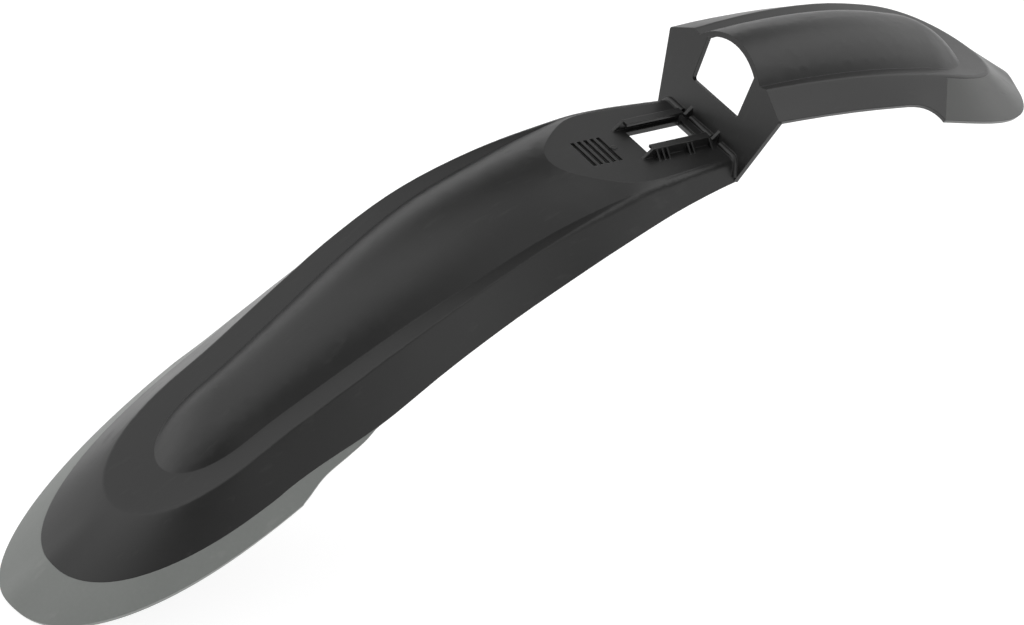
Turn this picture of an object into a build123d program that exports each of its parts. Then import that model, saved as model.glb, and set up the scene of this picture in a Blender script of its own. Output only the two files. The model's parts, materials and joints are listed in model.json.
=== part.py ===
"""Front mudguard for a suspension fork: one black moulded shell with a grey soft edge at each end.

Millimetres. The origin is the middle of the clip slot on the platform's top face,
+X points forward, +Y to the left of the bicycle and +Z up along the fork's steerer.
"""
import math
import os

from build123d import *

# Shell
wall = 2.2  # thickness of every moulded wall
crest_round = 0.8  # rounding along the crest between ledge and flank
crest_fade = 0.9  # extra rounding for each millimetre that the crown's foot stands above the gutter
lip_under = 5.0  # how far the ledge runs in under the crown
gutter = 1.5  # fall of the ledge from its crest to the crown's foot
ledge_sunk = 0.4  # the ledge's lip lies this far below the crown's foot

# Step plate between the two blades
plate_x = 20.5  # rear face at platform height
plate_lean = 16.0  # degrees the plate leans forward
window_foot = (18.0, 14.6)  # half width and height of the window's lower corners
window_side = 19.4  # half width of the window where it meets the front crown
window_round = 1.5

# Rear blade: side profile as tangent arcs (radius, degrees), then straight to the tail
rear_pitch = -2.2
rear_arcs = ((277.0, 30.8), (420.0, 5.5))
# Stations: distance from the plate, half widths of crown, crest and foot, foot depth,
# level of the crest, rise of the crown, level of its foot
rear_stations = (
    (-16, 23.0, 26.2, 29.7, 7.0, -0.2, 9.0, 0.2),
    (0, 24.6, 27.8, 31.6, 8.8, -0.2, 9.0, 0.2),
    (18, 26.8, 30.2, 34.4, 10.9, -0.2, 9.0, 0.2),
    (35, 28.8, 32.6, 37.0, 12.8, 0.5, 9.0, 1.0),
    (50, 30.8, 34.0, 40.0, 13.8, 0.9, 8.4, 1.6),
    (65, 31.6, 35.6, 42.8, 14.6, 0.3, 8.0, 0.4),
    (100, 32.2, 38.6, 48.0, 15.4, 0.0, 9.5, -1.2),
    (135, 32.6, 40.8, 51.2, 15.0, 0.0, 9.6, -1.5),
    (170, 29.6, 40.0, 52.6, 14.4, 0.0, 9.0, -1.5),
    (205, 26.0, 37.6, 53.4, 13.6, 0.0, 8.2, -1.5),
)
# Tail: fan centre and the half axes (along, across) of each outline round it
tail_start = 255.0
tail_crown = (35.0, 22.3)
tail_crest = (61.0, 34.5)
tail_seam = (96.8, 50.4)
tail_edge = (121.4, 57.9)
tail_edge_depth = (5.6, 16.1)  # at the tip, at the side
tail_rise = 7.0
# Width of the grey edge ahead of the tail, where it runs out along the flank
run_out = ((209, 0.1), (221, 2.4), (231, 3.6), (239, 4.6), (246, 6.4))

# Front blade
front_pitch = -2.0
front_arcs = ((400.0, 7.0), (275.0, 40.0))
front_z = 33.6  # height of the crest line at the plate
front_stations = (
    (-14, 24.0, 27.4, 42.4, 6.8, 0.0, 9.8, -1.3),
    (0, 24.7, 28.5, 43.6, 7.4, 0.0, 10.0, -1.4),
    (30, 25.6, 30.8, 45.0, 8.2, 0.0, 11.0, -1.5),
    (58, 26.4, 32.6, 46.0, 8.4, 0.0, 11.0, -1.5),
    (76, 26.4, 33.4, 46.4, 8.4, 0.0, 10.6, -1.5),
    (86, 26.2, 33.4, 47.8, 9.8, 0.0, 10.2, -1.5),
)
front_start = 96.5  # fan centre, and the seam across the flank
front_crown = (27.5, 25.6)
front_crest = (42.5, 33.2)
front_edge = (69.5, 52.0)
front_edge_depth = (4.0, 13.2)
front_sweep = 0.5  # how far the seam leans back for each millimetre outward
front_tip_rise = 9.6
front_seam_out = 1.6  # the seam runs this far outside the crest

# Clip seat on the platform, about the origin
slot_length = 27.2
slot_width = 18.0
rail_gap = 4.5  # from the rails' front ends to the plate
rail_wall = 1.5
rail_height = 4.2
rail_lip = 1.3  # thickness of the lip that overhangs the clip
rail_lip_reach = 2.6  # from the rail wall to the lip's edge over the slot
ramp_length = 5.2
gusset_foot = 3.8
gusset_thick = 0.9
gusset_steps = (1.6, 4.4, 6.9, 17.5, 19.7, 29.0)  # from the rear end of the rails
stop_length = 2.3  # buttress that stops the clip ahead of each rail
stop_width = 1.7
stop_heights = (1.4, 4.6)  # at its rear end, at the plate
ridge_gap = 1.1  # from the slot's front end to the ridge
ridge_size = (0.9, 16.0, 0.8)
bead_radius = 1.7
bead_bend = 4.0
bead_gap = (8.6, 15.2)  # the bead is interrupted between these half widths
louvre_count = 5
louvre_first = -42.2
louvre_pitch = 3.3
louvre_width = 2.0
louvre_depth = 1.2
louvre_half = 10.0
gate_x = -25.5  # mark left by the mould's gate
gate_radius = 1.5
gate_height = 0.4

BIG = 600.0
crown_sunk = 1.5  # how far the crown's round top reaches into the ledge
crown_skirt = 0.4  # how far its sides reach below the ledge
crown_bury = 0.9  # how far its rounded end goes on below the ledge
crown_least = 0.6  # it is solid where it rises less than this
plug_depth = 24.0  # how far the inner plugs reach down
seam_reach = 40.0  # how far the seam tools reach outward
lean = math.tan(math.radians(plate_lean))


class Spine:
    """Side profile of tangent arcs that carries places given as (along, across, up)."""

    def __init__(self, x, z, pitch, arcs, way):
        self.way = way
        self.legs = []
        start, heading = 0.0, math.radians(pitch)
        for radius, degrees in arcs:
            self.legs.append((start, x, z, heading, 1 / radius))
            turn = math.radians(degrees)
            x += way * radius * (math.sin(heading + turn) - math.sin(heading))
            z += radius * (math.cos(heading + turn) - math.cos(heading))
            start += radius * turn
            heading += turn
        self.legs.append((start, x, z, heading, 0.0))

    def frame(self, along):
        """Place on the profile and heading there."""
        start, x, z, heading, bend = [leg for leg in self.legs if leg[0] <= max(along, 0.0)][-1]
        run = along - start
        if bend and along > 0:
            turned = heading + bend * run
            x += self.way * (math.sin(turned) - math.sin(heading)) / bend
            z += (math.cos(turned) - math.cos(heading)) / bend
            return x, z, turned
        return x + self.way * run * math.cos(heading), z - run * math.sin(heading), heading

    def at(self, along, across, up):
        x, z, heading = self.frame(along)
        return Vector(x + self.way * up * math.sin(heading), across, z + up * math.cos(heading))

    def tangent(self, along):
        heading = self.frame(along)[2]
        return Vector(self.way * math.cos(heading), 0, -math.sin(heading))


class Station:
    """A section plane: square to the spine or swept back, or turned about a fan centre."""

    def __init__(self, spine, along, side, turn=90.0, sweep=0.0, pivot=0.0):
        self.spine, self.along, self.side = spine, along, side
        self.turn, self.sweep, self.pivot = math.radians(turn), sweep, pivot

    def at(self, out, up):
        along = self.along + out * math.cos(self.turn)
        place = self.spine.at(along, self.side * out * math.sin(self.turn), up)
        return place - self.spine.tangent(along) * (self.sweep * (out - self.pivot))


def reach(axes, turn, power=2.2):
    """Distance from the fan centre to a rounded-end outline, in the direction turn."""
    c, s = abs(math.cos(math.radians(turn))), abs(math.sin(math.radians(turn)))
    return ((c / axes[0]) ** power + (s / axes[1]) ** power) ** (-1 / power)


def depth_at(depths, axes, turn):
    """Depth between its values at the tip and at the side, by how far across the outline is."""
    across = reach(axes, turn) * math.sin(math.radians(turn)) / axes[1]
    return depths[0] + (depths[1] - depths[0]) * across


def toward(a, b, length):
    d = math.dist(a, b)
    return (a[0] + (b[0] - a[0]) * length / d, a[1] + (b[1] - a[1]) * length / d)


def inward(a, b):
    """Unit normal on the under side of a line that runs outward from a to b."""
    d = math.dist(a, b)
    return ((b[1] - a[1]) / d, -(b[0] - a[0]) / d)


def under(a, b):
    """The line a to b moved in by one wall."""
    n = inward(a, b)
    return tuple((p[0] + n[0] * wall, p[1] + n[1] * wall) for p in (a, b))


def crossing(p, q, r, s):
    """Where the line p-q meets the line r-s."""
    d = (q[0] - p[0]) * (s[1] - r[1]) - (q[1] - p[1]) * (s[0] - r[0])
    t = ((r[0] - p[0]) * (s[1] - r[1]) - (r[1] - p[1]) * (s[0] - r[0])) / d
    return (p[0] + (q[0] - p[0]) * t, p[1] + (q[1] - p[1]) * t)


def rim_wire(station, lip, crest, foot):
    """Closed section of ledge and flank: outer skin, foot, inner skin."""
    fade = crest_fade * (lip[1] + ledge_sunk + gutter)
    rounding = min(crest_round + fade, 0.8 * (crest[0] - lip[0] - lip_under))
    a, b = toward(crest, lip, rounding), toward(crest, foot, rounding)
    mid = ((a[0] + b[0] + 2 * crest[0]) / 4, (a[1] + b[1] + 2 * crest[1]) / 4)
    lip_in, crest_a = under(lip, crest)
    crest_b, foot_in = under(crest, foot)
    corner = crossing(lip_in, crest_a, crest_b, foot_in)
    outline = [station.at(*p) for p in (b, foot, foot_in, corner, lip_in, lip, a)]
    lines = [Edge.make_line(p, q) for p, q in zip(outline, outline[1:])]
    return Wire(lines + [Edge.make_three_point_arc(outline[-1], station.at(*mid), outline[0])])


def seam_wire(station, crest, seam):
    """Closed section of a seam tool: everything outside a cut square through the flank."""
    n = inward(crest, seam)
    low, high = ((seam[0] + n[0] * k, seam[1] + n[1] * k) for k in (2.5 * wall, -2.5 * wall))
    far_low, far_high = ((p[0] + n[1] * -seam_reach, p[1] + n[0] * seam_reach) for p in (low, high))
    corners = [station.at(*p) for p in (low, far_low, far_high, high)]
    return Wire([Edge.make_line(corners[i], corners[(i + 1) % 4]) for i in range(4)])


def fan_turns(axes, count=9):
    """Directions round an end that step evenly along its outline, from the side to the tip."""
    steps = [math.radians(90 - 90 * i / count) for i in range(count + 1)]
    return [math.degrees(math.atan2(axes[1] * math.sin(t), axes[0] * math.cos(t))) for t in steps]


def side_lofts(make, rows):
    """The same loft along both sides."""
    body = Solid.make_loft([make(row) for row in rows])
    return body, mirror(body, Plane.XZ)


def end_loft(make, turns):
    """Loft round a rounded end, from one side to the other."""
    near, far = [make(turn, -1) for turn in turns], [make(turn, 1) for turn in turns[-2::-1]]
    return Solid.make_loft(near + far)


def arch_wire(spine, along, radius, peak, base, drop):
    """Closed arch section: a round top down to base, then straight sides down to drop."""
    half = math.sqrt(radius ** 2 - (radius - peak + base) ** 2)
    left, top, right = (spine.at(along, y, n) for y, n in ((-half, base), (0, peak), (half, base)))
    arc = Edge.make_three_point_arc(left, top, right)
    low = [spine.at(along, y, drop) for y in (half, -half)]
    sides = [Edge.make_line(right, low[0]), Edge.make_line(low[0], low[1]), Edge.make_line(low[1], left)]
    return Wire([arc] + sides)


def smooth(rows, x):
    """Row of a table at x, on a smooth curve through its rows that ends level."""
    steps = [[(q - p) / (b[0] - a[0]) for p, q in zip(a, b)] for a, b in zip(rows, rows[1:])]
    slopes = [steps[0]] + [[(p + q) / 2 for p, q in zip(a, b)] for a, b in zip(steps, steps[1:])]
    slopes.append([0.0] * len(rows[0]))
    i = max(k for k in range(len(rows) - 1) if k == 0 or rows[k][0] <= x)
    gap = rows[i + 1][0] - rows[i][0]
    t = (x - rows[i][0]) / gap
    rise, lead, trail = t * t * (3 - 2 * t), t * (1 - t) ** 2, t * t * (t - 1)
    curve = [
        p + (q - p) * rise + gap * (lead * u + trail * v)
        for p, q, u, v in zip(rows[i], rows[i + 1], slopes[i], slopes[i + 1])
    ]
    return (x,) + tuple(curve[1:])


def spread(rows, first, last, count):
    """Evenly spaced rows of a table, both ends included."""
    return [smooth(rows, first + (last - first) * i / count) for i in range(count + 1)]


def crown_plugs(spine, stations, start, axes, end_rise):
    """Outer and inner plugs of a crown; its rounded end sinks into the ledge."""
    rows = []
    for along, half, _, _, _, _, rise, base in stations:
        rows.append((along, (half ** 2 + rise ** 2) / (2 * rise), base, rise))
    radius = (axes[1] ** 2 + end_rise ** 2) / (2 * end_rise)
    buried = math.sqrt(1 + crown_bury / end_rise)
    for part in [math.sin(math.radians(15 * i)) for i in range(6)] + [buried]:
        rows.append((start + part * axes[0], radius, -gutter, end_rise * (1 - part ** 2)))
    skirt = ledge_sunk + wall + crown_skirt
    outer = [
        arch_wire(spine, s, r, base + rise, base - crown_sunk, base - skirt) for s, r, base, rise in rows
    ]
    inner = [
        arch_wire(spine, s, r - wall, base + rise - wall, base - wall, -plug_depth)
        for s, r, base, rise in rows if rise > crown_least
    ]
    return Solid.make_loft(outer), Solid.make_loft(inner)


def rim_section(row, start, crown_axes, crest_axes, edge_axes, edge_depth):
    """Lip, crest and foot of one rim section: a station row, or an angle round the end."""
    if isinstance(row, tuple):
        along, half, crest, foot, depth, level, _, base = row
        return along, 90.0, (half - lip_under, base - ledge_sunk), (crest, level), (foot, -depth)
    foot = (reach(edge_axes, row), -depth_at(edge_depth, edge_axes, row))
    lip = (reach(crown_axes, row) - lip_under, -gutter - ledge_sunk)
    return start, row, lip, (reach(crest_axes, row), 0.0), foot


def rod(a, b, radius):
    """Round rod from a to b with flat ends."""
    way = Plane(origin=a, z_dir=b - a)
    return way * Cylinder(radius, (b - a).length, align=(Align.CENTER, Align.CENTER, Align.MIN))


def on_plate(y, z):
    """Point on the plate's rear face."""
    return Vector(plate_x + z * lean, y, z)


def plate_prism(points, start, thickness):
    """Prism on the plate's rear face from an outline of (across, height) corners."""
    face = Face(Wire.make_polygon([on_plate(*p) for p in points], close=True))
    return Solid.extrude(face.moved(Pos(*(plate_normal * start))), plate_normal * thickness)


def mirrored(corners):
    """An outline of one half, closed by its mirror image."""
    return list(corners) + [(-y, z) for y, z in reversed(corners)]


plate_normal = Vector(math.cos(math.radians(plate_lean)), 0, -math.sin(math.radians(plate_lean)))
plate_frame = Plane(origin=(plate_x, 0, 0), x_dir=(0, 1, 0), z_dir=plate_normal)
ahead = plate_frame * Pos(0, 0, BIG / 2 + wall / 2) * Box(BIG, BIG, BIG)
behind = plate_frame * Pos(0, 0, -BIG / 2) * Box(BIG, BIG, BIG)

# Rear blade
rear = Spine(plate_x, 0, rear_pitch, rear_arcs, -1)
tail = (tail_start, tail_crown, tail_crest, tail_edge, tail_edge_depth)


def seam_point(turn):
    """Where the grey edge starts, on the line from crest to edge."""
    crest = (reach(tail_crest, turn), 0.0)
    edge = (reach(tail_edge, turn), -depth_at(tail_edge_depth, tail_edge, turn))
    part = (reach(tail_seam, turn) - crest[0]) / (edge[0] - crest[0])
    return (reach(tail_seam, turn), edge[1] * part)


tail_width = math.dist(seam_point(90.0), (tail_edge[1], -tail_edge_depth[1]))
strip_table = run_out + ((tail_start, tail_width),)
tail_widths = (tail_crown[1], tail_crest[1], tail_seam[1])
tail_row = (tail_start, *tail_widths, -seam_point(90.0)[1], 0.0, tail_rise, -gutter)
rear_table = rear_stations + (tail_row,)


def run_out_row(along, width):
    """Station whose flank carries a strip of grey edge of the given width."""
    _, crown, crest, foot, depth, level, rise, base = smooth(rear_table, along)
    edge = toward((crest, level), (foot, -depth), math.dist((crest, level), (foot, -depth)) + width)
    return (along, crown, crest, edge[0], -edge[1], level, rise, base)


def rear_rim(row, side=-1):
    along, turn, lip, crest, foot = rim_section(row, *tail)
    return rim_wire(Station(rear, along, side, turn), lip, crest, foot)


def rear_seam(row, side=-1):
    if isinstance(row, tuple):
        along, _, crest, foot, depth, level, _, _ = row
        return seam_wire(Station(rear, along, side), (crest, level), (foot, -depth))
    crest = (reach(tail_crest, row), 0.0)
    return seam_wire(Station(rear, tail_start, side, row), crest, seam_point(row))


# The rim is lofted in lengths: along the flank, along the run-out of the grey edge, round the tail
run_start = run_out[0][0]
turns = fan_turns(tail_edge)
flanks = side_lofts(rear_rim, spread(rear_table, rear_table[0][0], run_start, 25))
strip_rows = [run_out_row(*row) for row in spread(strip_table, run_start, tail_start, 8)]
strips = side_lofts(rear_rim, strip_rows)
strip_tools = side_lofts(rear_seam, spread(rear_table, run_start, tail_start, 8))
tail_body = end_loft(rear_rim, turns)
tail_tool = end_loft(rear_seam, turns)
rear_soft_edge = tail_body & tail_tool
rear_blade = tail_body - tail_tool
for flank, strip, tool in zip(flanks, strips, strip_tools):
    rear_soft_edge += strip & tool
    rear_blade += flank + (strip - tool)
crown_rows = spread(rear_table, rear_table[0][0], tail_start, 27)[:-1]
crown_out, crown_in = crown_plugs(rear, crown_rows, tail_start, tail_crown, tail_rise)
above = Pos(0, 0, BIG / 2) * Box(BIG, BIG, BIG)
rear_blade = rear_blade + (crown_out - above) - (crown_in - Pos(0, 0, -wall) * above)
rear_blade = rear_blade - ahead

# Front blade
front = Spine(plate_x + front_z * lean, front_z, front_pitch, front_arcs, 1)
tip = (front_start, front_crown, front_crest, front_edge, front_edge_depth)


def front_station(along, side, turn, crest):
    """Station of the front blade; the sections lean back toward the seam."""
    sweep = front_sweep * (max(along, 0.0) / front_start * turn / 90) ** 4
    return Station(front, along, side, turn, sweep, crest[0])


def front_rim(row, side=-1):
    along, turn, lip, crest, foot = rim_section(row, *tip)
    return rim_wire(front_station(along, side, turn, crest), lip, crest, foot)


def front_seam(turn, side=-1):
    along, turn, lip, crest, foot = rim_section(turn, *tip)
    seam = toward(crest, foot, front_seam_out)
    return seam_wire(front_station(along, side, turn, crest), crest, seam)


tip_widths = (front_crown[1], front_crest[1], front_edge[1])
tip_row = (front_start, *tip_widths, front_edge_depth[1], 0.0, front_tip_rise, -gutter)
front_table = front_stations + (tip_row,)
turns = fan_turns(front_edge)
flanks = side_lofts(front_rim, spread(front_table, front_table[0][0], front_start, 13))
tip_body = end_loft(front_rim, turns)
tip_tool = end_loft(front_seam, turns)
front_soft_tip = tip_body & tip_tool
front_blade = tip_body - tip_tool
for flank in flanks:
    front_blade += flank
crown_rows = spread(front_table, front_table[0][0], front_start, 6)[:-1]
crown_out, front_crown_in = crown_plugs(front, crown_rows, front_start, front_crown, front_tip_rise)
front_blade = front_blade + crown_out - front_crown_in
front_blade = front_blade - behind

# Step plate: its top runs inside the front blade's wall, its foot stands on the rear flanks
sunk = 0.5
_, arch_half, arch_crest, ear_half, ear_depth, _, arch_rise, arch_foot = front_stations[1]
_, _, bend_half, foot_half, foot_depth, _, _, _ = rear_stations[1]
arch_base = front_z + arch_foot - sunk
under_side = -wall - 1.0
plate_half = (
    (arch_half, arch_base),
    (arch_crest, front_z - sunk),
    (ear_half, front_z - ear_depth - sunk),
    (foot_half, -foot_depth),
    (foot_half - 1.5 * wall, -foot_depth),
    (foot_half - 3 * wall, under_side),
)
outline = mirrored(plate_half)
corners = [on_plate(*p) for p in outline]
arch_top = on_plate(0, arch_base + arch_rise)
edges = [Edge.make_line(p, q) for p, q in zip(corners, corners[1:])]
edges.append(Edge.make_three_point_arc(corners[-1], arch_top, corners[0]))
plate = Solid.extrude(Face(Wire(edges)), plate_normal * wall)
window = plate_prism(mirrored((window_foot, (window_side, BIG / 10))), -2 * wall, 5 * wall)
low_edges = window.edges().filter_by(Axis((0, 0, 0), plate_normal)).sort_by(Axis.Z)[:2]
window = window.fillet(window_round, low_edges)
shell = rear_blade + plate + front_blade - (window & front_crown_in)

# Clip seat: slot, rails with lips, ramps and gussets, stops ahead of them
shell = shell - Box(slot_length, slot_width, 6 * wall)
lip_y = slot_width / 2
wall_y = lip_y + rail_lip_reach
rail_y = wall_y + rail_wall
rail_rear = -slot_length / 2
root = -wall / 2
rail_profile = Polyline(
    (wall_y, root), (rail_y, root), (rail_y, rail_height), (lip_y, rail_height),
    (lip_y, rail_height - rail_lip), (wall_y, rail_height - rail_lip), close=True,
)
rail_plane = Plane(origin=(rail_rear, 0, 0), x_dir=(0, 1, 0), z_dir=(1, 0, 0))
rail = extrude(rail_plane * make_face(rail_profile), plate_x - rail_gap - rail_rear)
ramp_rear = rail_rear - ramp_length
ramp_profile = Polyline(
    (ramp_rear, 0), (rail_rear, rail_height), (rail_rear, root), (ramp_rear, root), close=True
)
ramp_plane = Plane(origin=(0, wall_y, 0), x_dir=(1, 0, 0), z_dir=(0, -1, 0))
rail += extrude(ramp_plane * make_face(ramp_profile), -rail_wall)
gusset_top = rail_height - gusset_thick / 2
gusset_profile = Polyline(
    (rail_y - rail_wall / 2, root), (rail_y + gusset_foot, root), (rail_y + gusset_foot, 0),
    (rail_y, gusset_top), (rail_y - rail_wall / 2, gusset_top), close=True,
)
for step in gusset_steps:
    place = Plane(origin=(rail_rear + step, 0, 0), x_dir=(0, 1, 0), z_dir=(1, 0, 0))
    rail += extrude(place * make_face(gusset_profile), gusset_thick / 2, both=True)
stop_low, stop_high = stop_heights
stop_x = plate_x - stop_length
stop_profile = Polyline(
    (stop_x, root), (stop_x, stop_low), (plate_x + stop_high * lean, stop_high),
    (plate_x + stop_high * lean, root), close=True,
)
stop_plane = Plane(origin=(0, (lip_y + rail_y) / 2, 0), x_dir=(1, 0, 0), z_dir=(0, -1, 0))
stop = extrude(stop_plane * make_face(stop_profile), stop_width / 2, both=True)

# Bead along the corner of platform and plate, ridge in front of the slot
bead_foot = (foot_half - bead_radius / 3, (bead_radius - foot_depth) * math.hypot(1, lean))
bead_path = plate_frame * FilletPolyline(
    (bead_gap[1], 0), (bend_half - bead_radius / 2, 0), bead_foot, radius=bead_bend
)
bead = sweep((bead_path ^ 0) * Circle(bead_radius), path=bead_path)
fittings = rail + stop + bead
fittings += mirror(fittings, Plane.XZ)
fittings += rod(on_plate(-bead_gap[0], 0), on_plate(bead_gap[0], 0), bead_radius)
ridge_length, ridge_width, ridge_height = ridge_size
ridge_x = slot_length / 2 + ridge_gap
fittings += Pos(ridge_x, 0, 0) * Box(ridge_length, ridge_width, 2 * ridge_height)
fittings += Pos(gate_x, 0, 0) * Cylinder(gate_radius, 2 * gate_height)
shell = shell + fittings

# Louvres: shallow wedges cut across the platform, deepest at the front
louvre_profile = Polyline((0, 0), (louvre_width, -louvre_depth), (louvre_width, 1), (0, 1), close=True)
louvre_plane = Plane(origin=(0, -louvre_half, 0), x_dir=(1, 0, 0), z_dir=(0, -1, 0))
louvre = extrude(louvre_plane * make_face(louvre_profile), -2 * louvre_half)
for i in range(louvre_count):
    shell = shell - Pos(louvre_first + i * louvre_pitch, 0, 0) * louvre

os.makedirs("parts", exist_ok=True)
nodes = {"blade_shell": shell, "rear_soft_edge": rear_soft_edge, "front_soft_tip": front_soft_tip}
for name, node in nodes.items():
    export_step(node, f"parts/{name}.step")
    box = node.bounding_box()
    print(name, len(node.solids()), "solid", round(node.volume), "mm3", box.min, box.max)
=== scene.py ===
# %% [markdown]
# # A clip-on bicycle mudguard
#
# The guard is one long black moulding with a softer grey edge round its tail and another
# round its front tip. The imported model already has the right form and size, so this lesson
# is about finish: clean shading on a curved moulding, a satin plastic with a fine mould grain,
# a matt soft plastic, and a studio that shows them. Everything is in metres.

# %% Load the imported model
import json
import math

import bpy
from mathutils import Matrix, Vector

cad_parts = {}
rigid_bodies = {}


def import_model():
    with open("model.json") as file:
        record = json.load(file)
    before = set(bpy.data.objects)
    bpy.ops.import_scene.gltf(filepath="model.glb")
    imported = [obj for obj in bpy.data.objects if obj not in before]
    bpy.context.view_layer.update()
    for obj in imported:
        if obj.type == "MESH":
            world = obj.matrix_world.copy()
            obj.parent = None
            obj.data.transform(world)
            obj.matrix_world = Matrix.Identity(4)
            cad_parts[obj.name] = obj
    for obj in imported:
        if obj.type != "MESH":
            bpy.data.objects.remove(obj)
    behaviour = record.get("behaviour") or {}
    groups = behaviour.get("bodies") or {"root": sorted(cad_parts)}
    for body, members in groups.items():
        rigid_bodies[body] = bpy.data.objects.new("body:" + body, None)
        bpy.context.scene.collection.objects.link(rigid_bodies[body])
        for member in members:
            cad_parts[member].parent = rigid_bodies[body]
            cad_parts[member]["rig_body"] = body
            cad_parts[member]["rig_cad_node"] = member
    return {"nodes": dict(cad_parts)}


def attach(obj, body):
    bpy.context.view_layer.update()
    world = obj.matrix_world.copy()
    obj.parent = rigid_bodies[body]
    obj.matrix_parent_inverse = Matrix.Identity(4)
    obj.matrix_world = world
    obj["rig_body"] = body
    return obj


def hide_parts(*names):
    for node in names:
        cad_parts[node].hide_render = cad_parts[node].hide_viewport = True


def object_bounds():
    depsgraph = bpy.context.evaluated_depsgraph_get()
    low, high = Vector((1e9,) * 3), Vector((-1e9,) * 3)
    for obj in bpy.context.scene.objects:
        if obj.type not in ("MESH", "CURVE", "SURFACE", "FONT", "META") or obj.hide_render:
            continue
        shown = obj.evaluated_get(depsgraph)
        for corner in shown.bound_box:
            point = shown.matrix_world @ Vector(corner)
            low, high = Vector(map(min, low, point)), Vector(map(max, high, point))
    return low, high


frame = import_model()
cad_low, cad_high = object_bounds()


def short(numbers):
    """Numbers rounded for printing."""
    return [round(v, 4) for v in numbers]


print("nodes:", sorted(frame["nodes"]))
print("model box:", short(cad_low), short(cad_high))

# %% [markdown]
# ## Camera
#
# The picture was taken from behind, above and the right with a long lens, and the camera was
# tilted a few degrees. A camera can be aimed with a constraint, but three angles and a
# distance say the same thing and can be read off, so its matrix is built from them.

# %% Camera
camera_target = Vector((-0.10012, -0.04572, -0.03979))
camera_azimuth = -35.27  # degrees; 0 looks along +Y
camera_elevation = 32.61  # degrees above the horizon
camera_roll = 7.53  # degrees
camera_distance = 2.1234
camera_lens = 175.35  # millimetres
camera_sensor = 36.0  # millimetres across
camera_clip = (0.05, 50.0)  # nearest and furthest distance that is drawn


def camera_turn(azimuth, elevation, roll):
    """A rotation whose columns are the camera's right, up and back directions."""
    a, e = math.radians(azimuth), math.radians(elevation)
    back = Vector((math.sin(a) * math.cos(e), -math.cos(a) * math.cos(e), math.sin(e)))
    upright = (-back).to_track_quat("-Z", "Y").to_matrix()
    return upright @ Matrix.Rotation(math.radians(roll), 3, "Z")


turn = camera_turn(camera_azimuth, camera_elevation, camera_roll)
camera_place = Matrix.Translation(camera_target + turn.col[2] * camera_distance)
camera_data = bpy.data.cameras.new("camera")
camera_data.lens = camera_lens
camera_data.sensor_width = camera_sensor
camera_data.clip_start, camera_data.clip_end = camera_clip
camera = bpy.data.objects.new("camera", camera_data)
bpy.context.scene.collection.objects.link(camera)
camera.matrix_world = camera_place @ turn.to_4x4()
bpy.context.scene.camera = camera
print("camera at", short(camera.location), "up", short(turn.col[1]))

# %% [markdown]
# ## Clean copies of the mouldings
#
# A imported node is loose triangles, each with its own corners, so it can't be smoothed as it is.
# A copy is merged into one skin and shaded smooth wherever two faces meet at a small angle,
# which keeps the real edges of the moulding crisp.

# %% Merge and smooth a copy of a node
smooth_angle = 24.0  # degrees
merge_distance = 0.00001
node_marks = ("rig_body", "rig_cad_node")  # the frame's notes on a node, which its copy would keep


def select_only(piece):
    """Selects one object and makes it the active one."""
    bpy.ops.object.select_all(action="DESELECT")
    bpy.context.view_layer.objects.active = piece
    piece.select_set(True)


def moulding(name, node):
    """A merged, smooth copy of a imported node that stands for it."""
    piece = frame["nodes"][node].copy()
    piece.data = piece.data.copy()
    piece.name = piece.data.name = name
    piece.parent = None
    for mark in node_marks:
        if mark in piece:
            del piece[mark]
    bpy.context.scene.collection.objects.link(piece)
    select_only(piece)
    bpy.ops.mesh.customdata_custom_splitnormals_clear()
    bpy.ops.object.mode_set(mode="EDIT")
    bpy.ops.mesh.select_all(action="SELECT")
    bpy.ops.mesh.remove_doubles(threshold=merge_distance)
    bpy.ops.object.mode_set(mode="OBJECT")
    bpy.ops.object.shade_smooth_by_angle(angle=math.radians(smooth_angle))
    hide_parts(node)
    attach(piece, "root")
    print(name, len(piece.data.vertices), "points", len(piece.data.polygons), "faces")
    return piece


shell = moulding("black_shell", "blade_shell")
tail_edge = moulding("grey_tail_edge", "rear_soft_edge")
tip_edge = moulding("grey_front_edge", "front_soft_tip")

# %% [markdown]
# ## The platform's edge
#
# The flat platform under the fork meets the domed crown at only about ten degrees, so smoothing
# by angle runs over that line. On the real guard it shows as a faint oval. Its faces are easy to
# find, because they are the only ones that lie level at the origin's height, and the outline of
# that selection is marked sharp.

# %% Mark the outline of the platform
level_normal = 0.9999  # least upward part of a level face's normal
level_height = 0.00005  # furthest that the platform's faces are from the origin's height

select_only(shell)
bpy.ops.object.mode_set(mode="EDIT")
bpy.ops.mesh.select_mode(type="FACE")
bpy.ops.mesh.select_all(action="DESELECT")
bpy.ops.object.mode_set(mode="OBJECT")
platform_faces = 0
for face in shell.data.polygons:
    face.select = face.normal.z > level_normal and abs(face.center.z) < level_height
    platform_faces += face.select
bpy.ops.object.mode_set(mode="EDIT")
bpy.ops.mesh.region_to_loop()
bpy.ops.mesh.mark_sharp()
bpy.ops.object.mode_set(mode="OBJECT")
print("platform:", platform_faces, "faces")

# %% [markdown]
# ## Flat faces that look flat
#
# At a smooth corner each point's normal is an average, so a large flat face beside small curved
# ones picks up a false gradient. More edge loops would hold it, but a Weighted Normal modifier
# does so without new faces: it lets the large faces win over the small ones beside them.

# %% Let the large faces keep their flatness
for piece in (shell, tail_edge, tip_edge):
    select_only(piece)
    flats = piece.modifiers.new("flats", "WEIGHTED_NORMAL")
    flats.keep_sharp = True
    bpy.ops.object.modifier_apply(modifier=flats.name)
    print(piece.name, "normals weighted by face area")

# %% [markdown]
# ## Shader maths as Python
#
# A finish is a few sums on noise. Written out as nodes and links they are hard to follow, so one
# small class wraps an output socket: plus, minus and times on it add a Math node, and `node` adds
# any other node, with its settings first and then its inputs.

# %% A socket that can be used in sums


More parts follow.
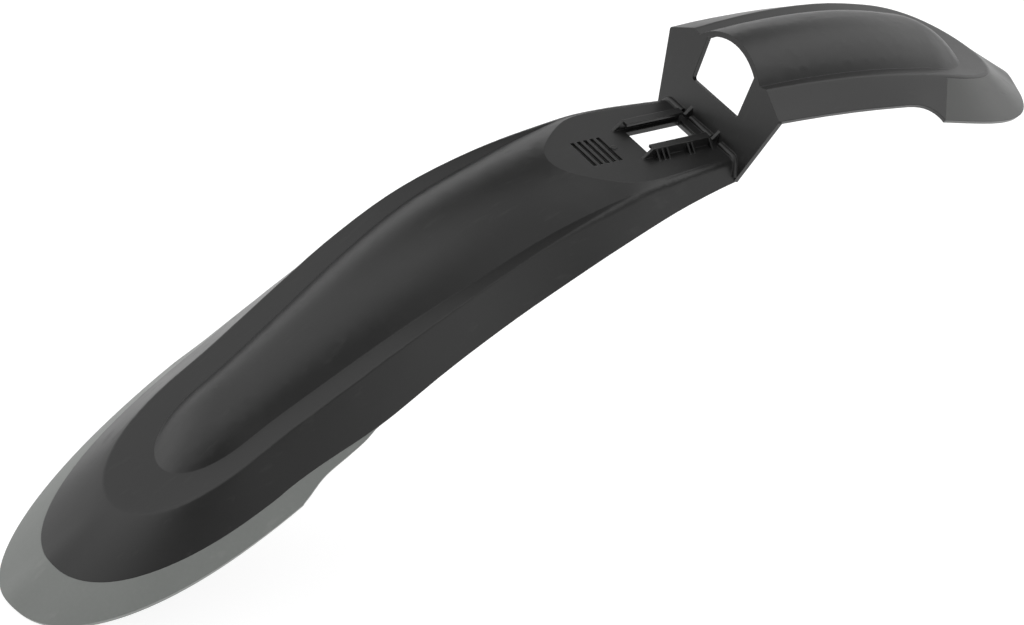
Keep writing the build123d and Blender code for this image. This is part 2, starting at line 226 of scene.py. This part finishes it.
class Channel:
    """An output socket of a node tree."""

    def __init__(self, tree, socket):
        self.tree, self.socket = tree, socket

    @classmethod
    def node(cls, tree, kind, settings=None, inputs=None, output=0):
        """Adds a node and returns one of its outputs."""
        made = tree.nodes.new(kind)
        for name, value in (settings or {}).items():
            setattr(made, name, value)
        for key, value in (inputs or {}).items():
            if isinstance(value, Channel):
                tree.links.new(value.socket, made.inputs[key])
            else:
                made.inputs[key].default_value = value
        return cls(tree, made.outputs[output])

    def math(self, operation, first, second):
        """Adds a Math node of two values."""
        settings = {"operation": operation}
        return Channel.node(self.tree, "ShaderNodeMath", settings, {0: first, 1: second})

    def __add__(self, other):
        return self.math("ADD", self, other)

    def __radd__(self, other):
        return self.math("ADD", other, self)

    def __sub__(self, other):
        return self.math("SUBTRACT", self, other)

    def __rsub__(self, other):
        return self.math("SUBTRACT", other, self)

    def __mul__(self, other):
        return self.math("MULTIPLY", self, other)

    def __rmul__(self, other):
        return self.math("MULTIPLY", other, self)


print("channel class ready")

# %% [markdown]
# ## The nodes that come up most
#
# Five nodes are used again and again: a noise, a soft step that makes patches of it, a stretch
# that draws it out in one direction, the nearness of two directions, and a mix of two colours.
# Each gets a short name, so that a finish below reads as a recipe.

# %% Short names for five nodes
noise_roughness = 0.55
mix_factor, mix_first, mix_second, mix_colour = 0, 6, 7, 2  # sockets of a Mix node set to colour


def noise(tree, place, scale, detail):
    """Noise between 0 and 1 at a place, with scale in waves to the metre."""
    inputs = {"Vector": place, "Scale": scale, "Detail": detail, "Roughness": noise_roughness}
    return Channel.node(tree, "ShaderNodeTexNoise", {}, inputs)


def band(tree, value, start, stop):
    """0 below start, 1 above stop, and smooth between."""
    settings = {"interpolation_type": "SMOOTHSTEP"}
    inputs = {"Value": value, "From Min": start, "From Max": stop}
    return Channel.node(tree, "ShaderNodeMapRange", settings, inputs)


def stretched(tree, place, factors):
    """A place with its coordinates multiplied: a pattern is shorter along the large factors."""
    settings = {"operation": "MULTIPLY"}
    return Channel.node(tree, "ShaderNodeVectorMath", settings, {0: place, 1: factors})


def nearness(tree, first, second):
    """The cosine between two directions: 1 where they agree, 0 where they are square."""
    settings = {"operation": "DOT_PRODUCT"}
    return Channel.node(tree, "ShaderNodeVectorMath", settings, {0: first, 1: second}, "Value")


def mixed(tree, factor, first, second):
    """The first colour where the factor is 0, and the second where it is 1."""
    inputs = {mix_factor: factor, mix_first: first, mix_second: second}
    return Channel.node(tree, "ShaderNodeMix", {"data_type": "RGBA"}, inputs, mix_colour)


print("helpers: noise, band, stretched, nearness, mixed")

# %% [markdown]
# ## Moulded plastic
#
# The shell is polypropylene from a spark-eroded mould: nearly black, with a fine even grain that
# makes a soft sheen. The melt flowed along the blade from the gate by the platform, and that
# leaves faint long streaks in the gloss. The grey edges are a softer plastic with a slight
# mottle. Handling leaves faint short scuffs. The edges are paler in places, partly from rubbing
# and partly as a painted highlight that stands in for small glints on the crests.
#
# No moulded edge is quite sharp. A Bevel node bends the shading over a few tenths of a millimetre
# at each edge, without new faces, and where it bends away from the face the colour is made
# paler in patches, partly for rubbing and partly as a painted highlight on the edges. All three
# plastics are the same kind of surface, so one function makes them, and what sets them apart is
# given to it. All patterns are on Object coordinates, in metres.

# %% Grain, streaks, mottle, scuffs, and edges paler from rubbing and painted highlight
# Each pattern's scale in waves to the metre, and its levels of detail
grain_noise = (1700.0, 2.0)
mottle_noise = (26.0, 4.0)
speck_noise = (620.0, 2.0)
streak_noise = (16.0, 3.0)
scuff_noise = (48.0, 6.0)
# the next noise picks the paler edge patches: partly rubbing, partly a painted highlight
rub_and_glint_noise = (110.0, 3.0)
streak_stretch = (1.0, 9.0, 9.0)
scuff_stretch = (1.0, 5.0, 2.0)
# Noise between which a patch fades in
scuff_fade = (0.6, 0.72)
# patches of paler edge: partly rubbing, partly a painted highlight
rub_and_glint_fade = (0.42, 0.6)
# Rounded edges
edge_round = 0.0005
edge_samples = 6
edge_fade = (0.02, 0.2)  # how far the shading is bent there, as 1 minus a cosine
# How much each pattern counts
shade_mottle, shade_specks = 0.6, 0.4
# edges painted paler count partly as rubbing, partly as a painted highlight
pale_rubs_and_glints, pale_scuffs = 0.5, 0.14
gloss_streaks, gloss_mottle, gloss_specks = 0.5, 0.3, 0.2
rough_scuffs = 0.08
grain_strength = 0.35

print("grain", round(1000 / grain_noise[0], 2), "mm, edges rounded", 1000 * edge_round, "mm")

# %% A plastic made of these patterns


def moulded_plastic(name, dark, light, worn_and_glint, gloss, grain_depth):
    """Plastic between dark and light, paler where scuffed and at edges, partly from use and partly
    as a painted highlight, whose roughness lies within gloss.
    """
    material = bpy.data.materials.new(name)
    material.use_nodes = True
    tree = material.node_tree
    shader = tree.nodes["Principled BSDF"]
    place = Channel.node(tree, "ShaderNodeTexCoord", output="Object")
    mottle = noise(tree, place, *mottle_noise)
    specks = noise(tree, place, *speck_noise)
    grain = noise(tree, place, *grain_noise)
    streaks = noise(tree, stretched(tree, place, streak_stretch), *streak_noise)
    scratches = noise(tree, stretched(tree, place, scuff_stretch), *scuff_noise)
    scuffs = band(tree, scratches, *scuff_fade)
    rounded = Channel.node(
        tree, "ShaderNodeBevel", {"samples": edge_samples}, {"Radius": edge_round}
    )
    flat = Channel.node(tree, "ShaderNodeNewGeometry", output="Normal")
    edges = band(tree, 1.0 - nearness(tree, rounded, flat), *edge_fade)
    # edge patches painted paler: partly rubbing, partly a painted highlight for glints on the
    # crests
    rubbed_and_glint = edges * band(tree, noise(tree, place, *rub_and_glint_noise), *rub_and_glint_fade)

    shade = shade_mottle * mottle + shade_specks * specks
    # the paler colour covers scuffs and edges; on the edges it is partly rubbing, partly a painted
    # highlight
    wear_and_glint = pale_rubs_and_glints * rubbed_and_glint + pale_scuffs * scuffs
    colour = mixed(tree, shade, (*dark, 1.0), (*light, 1.0))
    colour = mixed(tree, wear_and_glint, colour, (*worn_and_glint, 1.0))
    low, high = gloss
    sheen = gloss_streaks * streaks + gloss_mottle * mottle + gloss_specks * specks
    roughness = low + (high - low) * sheen + rough_scuffs * scuffs
    bump = Channel.node(
        tree, "ShaderNodeBump", {},
        {"Strength": grain_strength, "Distance": grain_depth, "Height": grain, "Normal": rounded},
    )
    tree.links.new(colour.socket, shader.inputs["Base Color"])
    tree.links.new(roughness.socket, shader.inputs["Roughness"])
    tree.links.new(bump.socket, shader.inputs["Normal"])
    print(name, len(tree.nodes), "nodes")
    return material


# %% [markdown]
# ## Three plastics
#
# The shell is as dark as moulded plastic gets. The tail's edge is a mid grey with a trace of
# green, and the more matt of the three. The front tip's edge is the same sort of plastic in a
# darker grey, polished a little more.

# %% Black shell, grey tail edge, darker front edge
# the paler colour of each plastic covers scuffs and edges; on the edges it is partly a painted
# highlight
black = moulded_plastic(
    "grained_black_plastic",
    dark=(0.008, 0.008, 0.008), light=(0.014, 0.014, 0.0135), worn_and_glint=(0.06, 0.06, 0.058),
    gloss=(0.28, 0.42), grain_depth=0.00003,
)
grey = moulded_plastic(
    "soft_grey_plastic",
    dark=(0.168, 0.177, 0.169), light=(0.216, 0.227, 0.216), worn_and_glint=(0.33, 0.335, 0.32),
    gloss=(0.34, 0.5), grain_depth=0.00004,
)
dark_grey = moulded_plastic(
    "soft_dark_grey_plastic",
    dark=(0.045, 0.0463, 0.0441), light=(0.06, 0.0615, 0.0587), worn_and_glint=(0.1, 0.101, 0.098),
    gloss=(0.28, 0.42), grain_depth=0.00004,
)
for piece, material in ((shell, black), (tail_edge, grey), (tip_edge, dark_grey)):
    piece.data.materials.clear()
    piece.data.materials.append(material)
    print(piece.name, "is", material.name)

# %% [markdown]
# ## Floor
#
# The picture has a white ground without a horizon. A white floor in soft light comes out light
# grey, so the floor also glows a little, as a light table does. The table ends a short way from
# the guard: further out the floor is a pale grey, which keeps the step plate dark, because that
# plate looks far out over the floor. The under side is clear, to let a camera look up from below.

# %% White floor under the tail
floor_drop = 0.0004
floor_size = 14.0
floor_roughness = 0.9
table_edge = (0.75, 1.6)  # metres from the origin between which the white turns grey
table_white = (0.4, 0.4, 0.4, 1.0)
far_grey = (0.5, 0.5, 0.5, 1.0)
table_glow = (0.82, 0.82, 0.82, 1.0)
no_glow = (0.0, 0.0, 0.0, 1.0)

bpy.ops.object.select_all(action="DESELECT")
bpy.ops.mesh.primitive_plane_add(size=floor_size, location=(0, 0, cad_low.z - floor_drop))
floor = bpy.context.object
floor.name = "floor"
floor_material = bpy.data.materials.new("white_floor")
floor_material.use_nodes = True
floor_tree = floor_material.node_tree
floor_shader = floor_tree.nodes["Principled BSDF"]
floor_shader.inputs["Roughness"].default_value = floor_roughness
floor_shader.inputs["Specular IOR Level"].default_value = 0.0
floor_shader.inputs["Emission Strength"].default_value = 1.0
spot = Channel.node(floor_tree, "ShaderNodeTexCoord", output="Object")
reach = Channel.node(
    floor_tree, "ShaderNodeVectorMath", {"operation": "LENGTH"}, {0: spot}, "Value"
)
outside = band(floor_tree, reach, *table_edge)
floor_tones = {"Base Color": (table_white, far_grey), "Emission Color": (table_glow, no_glow)}
for socket, (inner, outer) in floor_tones.items():
    tone = mixed(floor_tree, outside, inner, outer)
    floor_tree.links.new(tone.socket, floor_shader.inputs[socket])
floor.data.materials.append(floor_material)
print("floor at", round(floor.location.z, 4))

# %% Clear under side
under_side = Channel.node(floor_tree, "ShaderNodeNewGeometry", output="Backfacing")
clear = Channel.node(floor_tree, "ShaderNodeBsdfTransparent")
top_side = Channel(floor_tree, floor_shader.outputs[0])
both_sides = Channel.node(
    floor_tree, "ShaderNodeMixShader", {}, {0: under_side, 1: top_side, 2: clear}
)
floor_output = floor_tree.nodes["Material Output"]
floor_tree.links.new(both_sides.socket, floor_output.inputs["Surface"])
print("floor:", len(floor_tree.nodes), "nodes")

# %% [markdown]
# ## Light
#
# Dark satin plastic shows what stands round it more than what shines on it, so lamps alone leave
# it flat. The picture looks like a light tent: its wall glows low down on all sides but the rear,
# where it is open, and a few large panels shine through it, the strongest one in front of the
# guard and weaker ones above it, on its far side and on its near side. The wall and the panels
# are painted on the world as soft patches, which light the guard evenly and never stand in the
# way of a camera.

# %% Surroundings
least_glow = 0.12
wall_glow = 0.9
wall_top = (0.12, 0.55)  # heights between which the wall fades out, as sines
straight_up = (0.0, 0.0, 1.0)
door_way = (-0.92, -0.38, 0.0)  # the wall is open towards the rear
door_edge = (0.55, 0.95)  # where the opening's soft edge starts and ends, as cosines
panel_edge = (0.74, 0.99)  # and a panel's
panels = {
    "in_front": ((0.72, 0.12, 0.68), 1.35),
    "above": ((0.0, 0.1, 1.0), 0.6),
    "far_side": ((-0.6, 0.54, 0.59), 1.05),
    "near_side": ((-0.18, -0.77, 0.61), 0.85),
}
white_light = (1.0, 1.0, 1.0, 1.0)

world = bpy.data.worlds.new("light_tent")
world.use_nodes = True
sky = world.node_tree
way = Channel.node(sky, "ShaderNodeTexCoord", output="Generated")


def patch(direction, edge):
    """1 towards a direction, 0 away from it, with a soft edge."""
    return band(sky, nearness(sky, way, direction), *edge)


wall = (1.0 - patch(straight_up, wall_top)) * (1.0 - patch(door_way, door_edge))
glow = least_glow + wall_glow * wall
for name, (direction, strength) in panels.items():
    glow = glow + strength * patch(direction, panel_edge)
    print("panel", name, strength)
background = sky.nodes["Background"]
sky.links.new(glow.socket, background.inputs["Strength"])
background.inputs["Color"].default_value = white_light
bpy.context.scene.world = world
bpy.context.scene.view_settings.view_transform = "Standard"
print("world:", len(sky.nodes), "nodes")
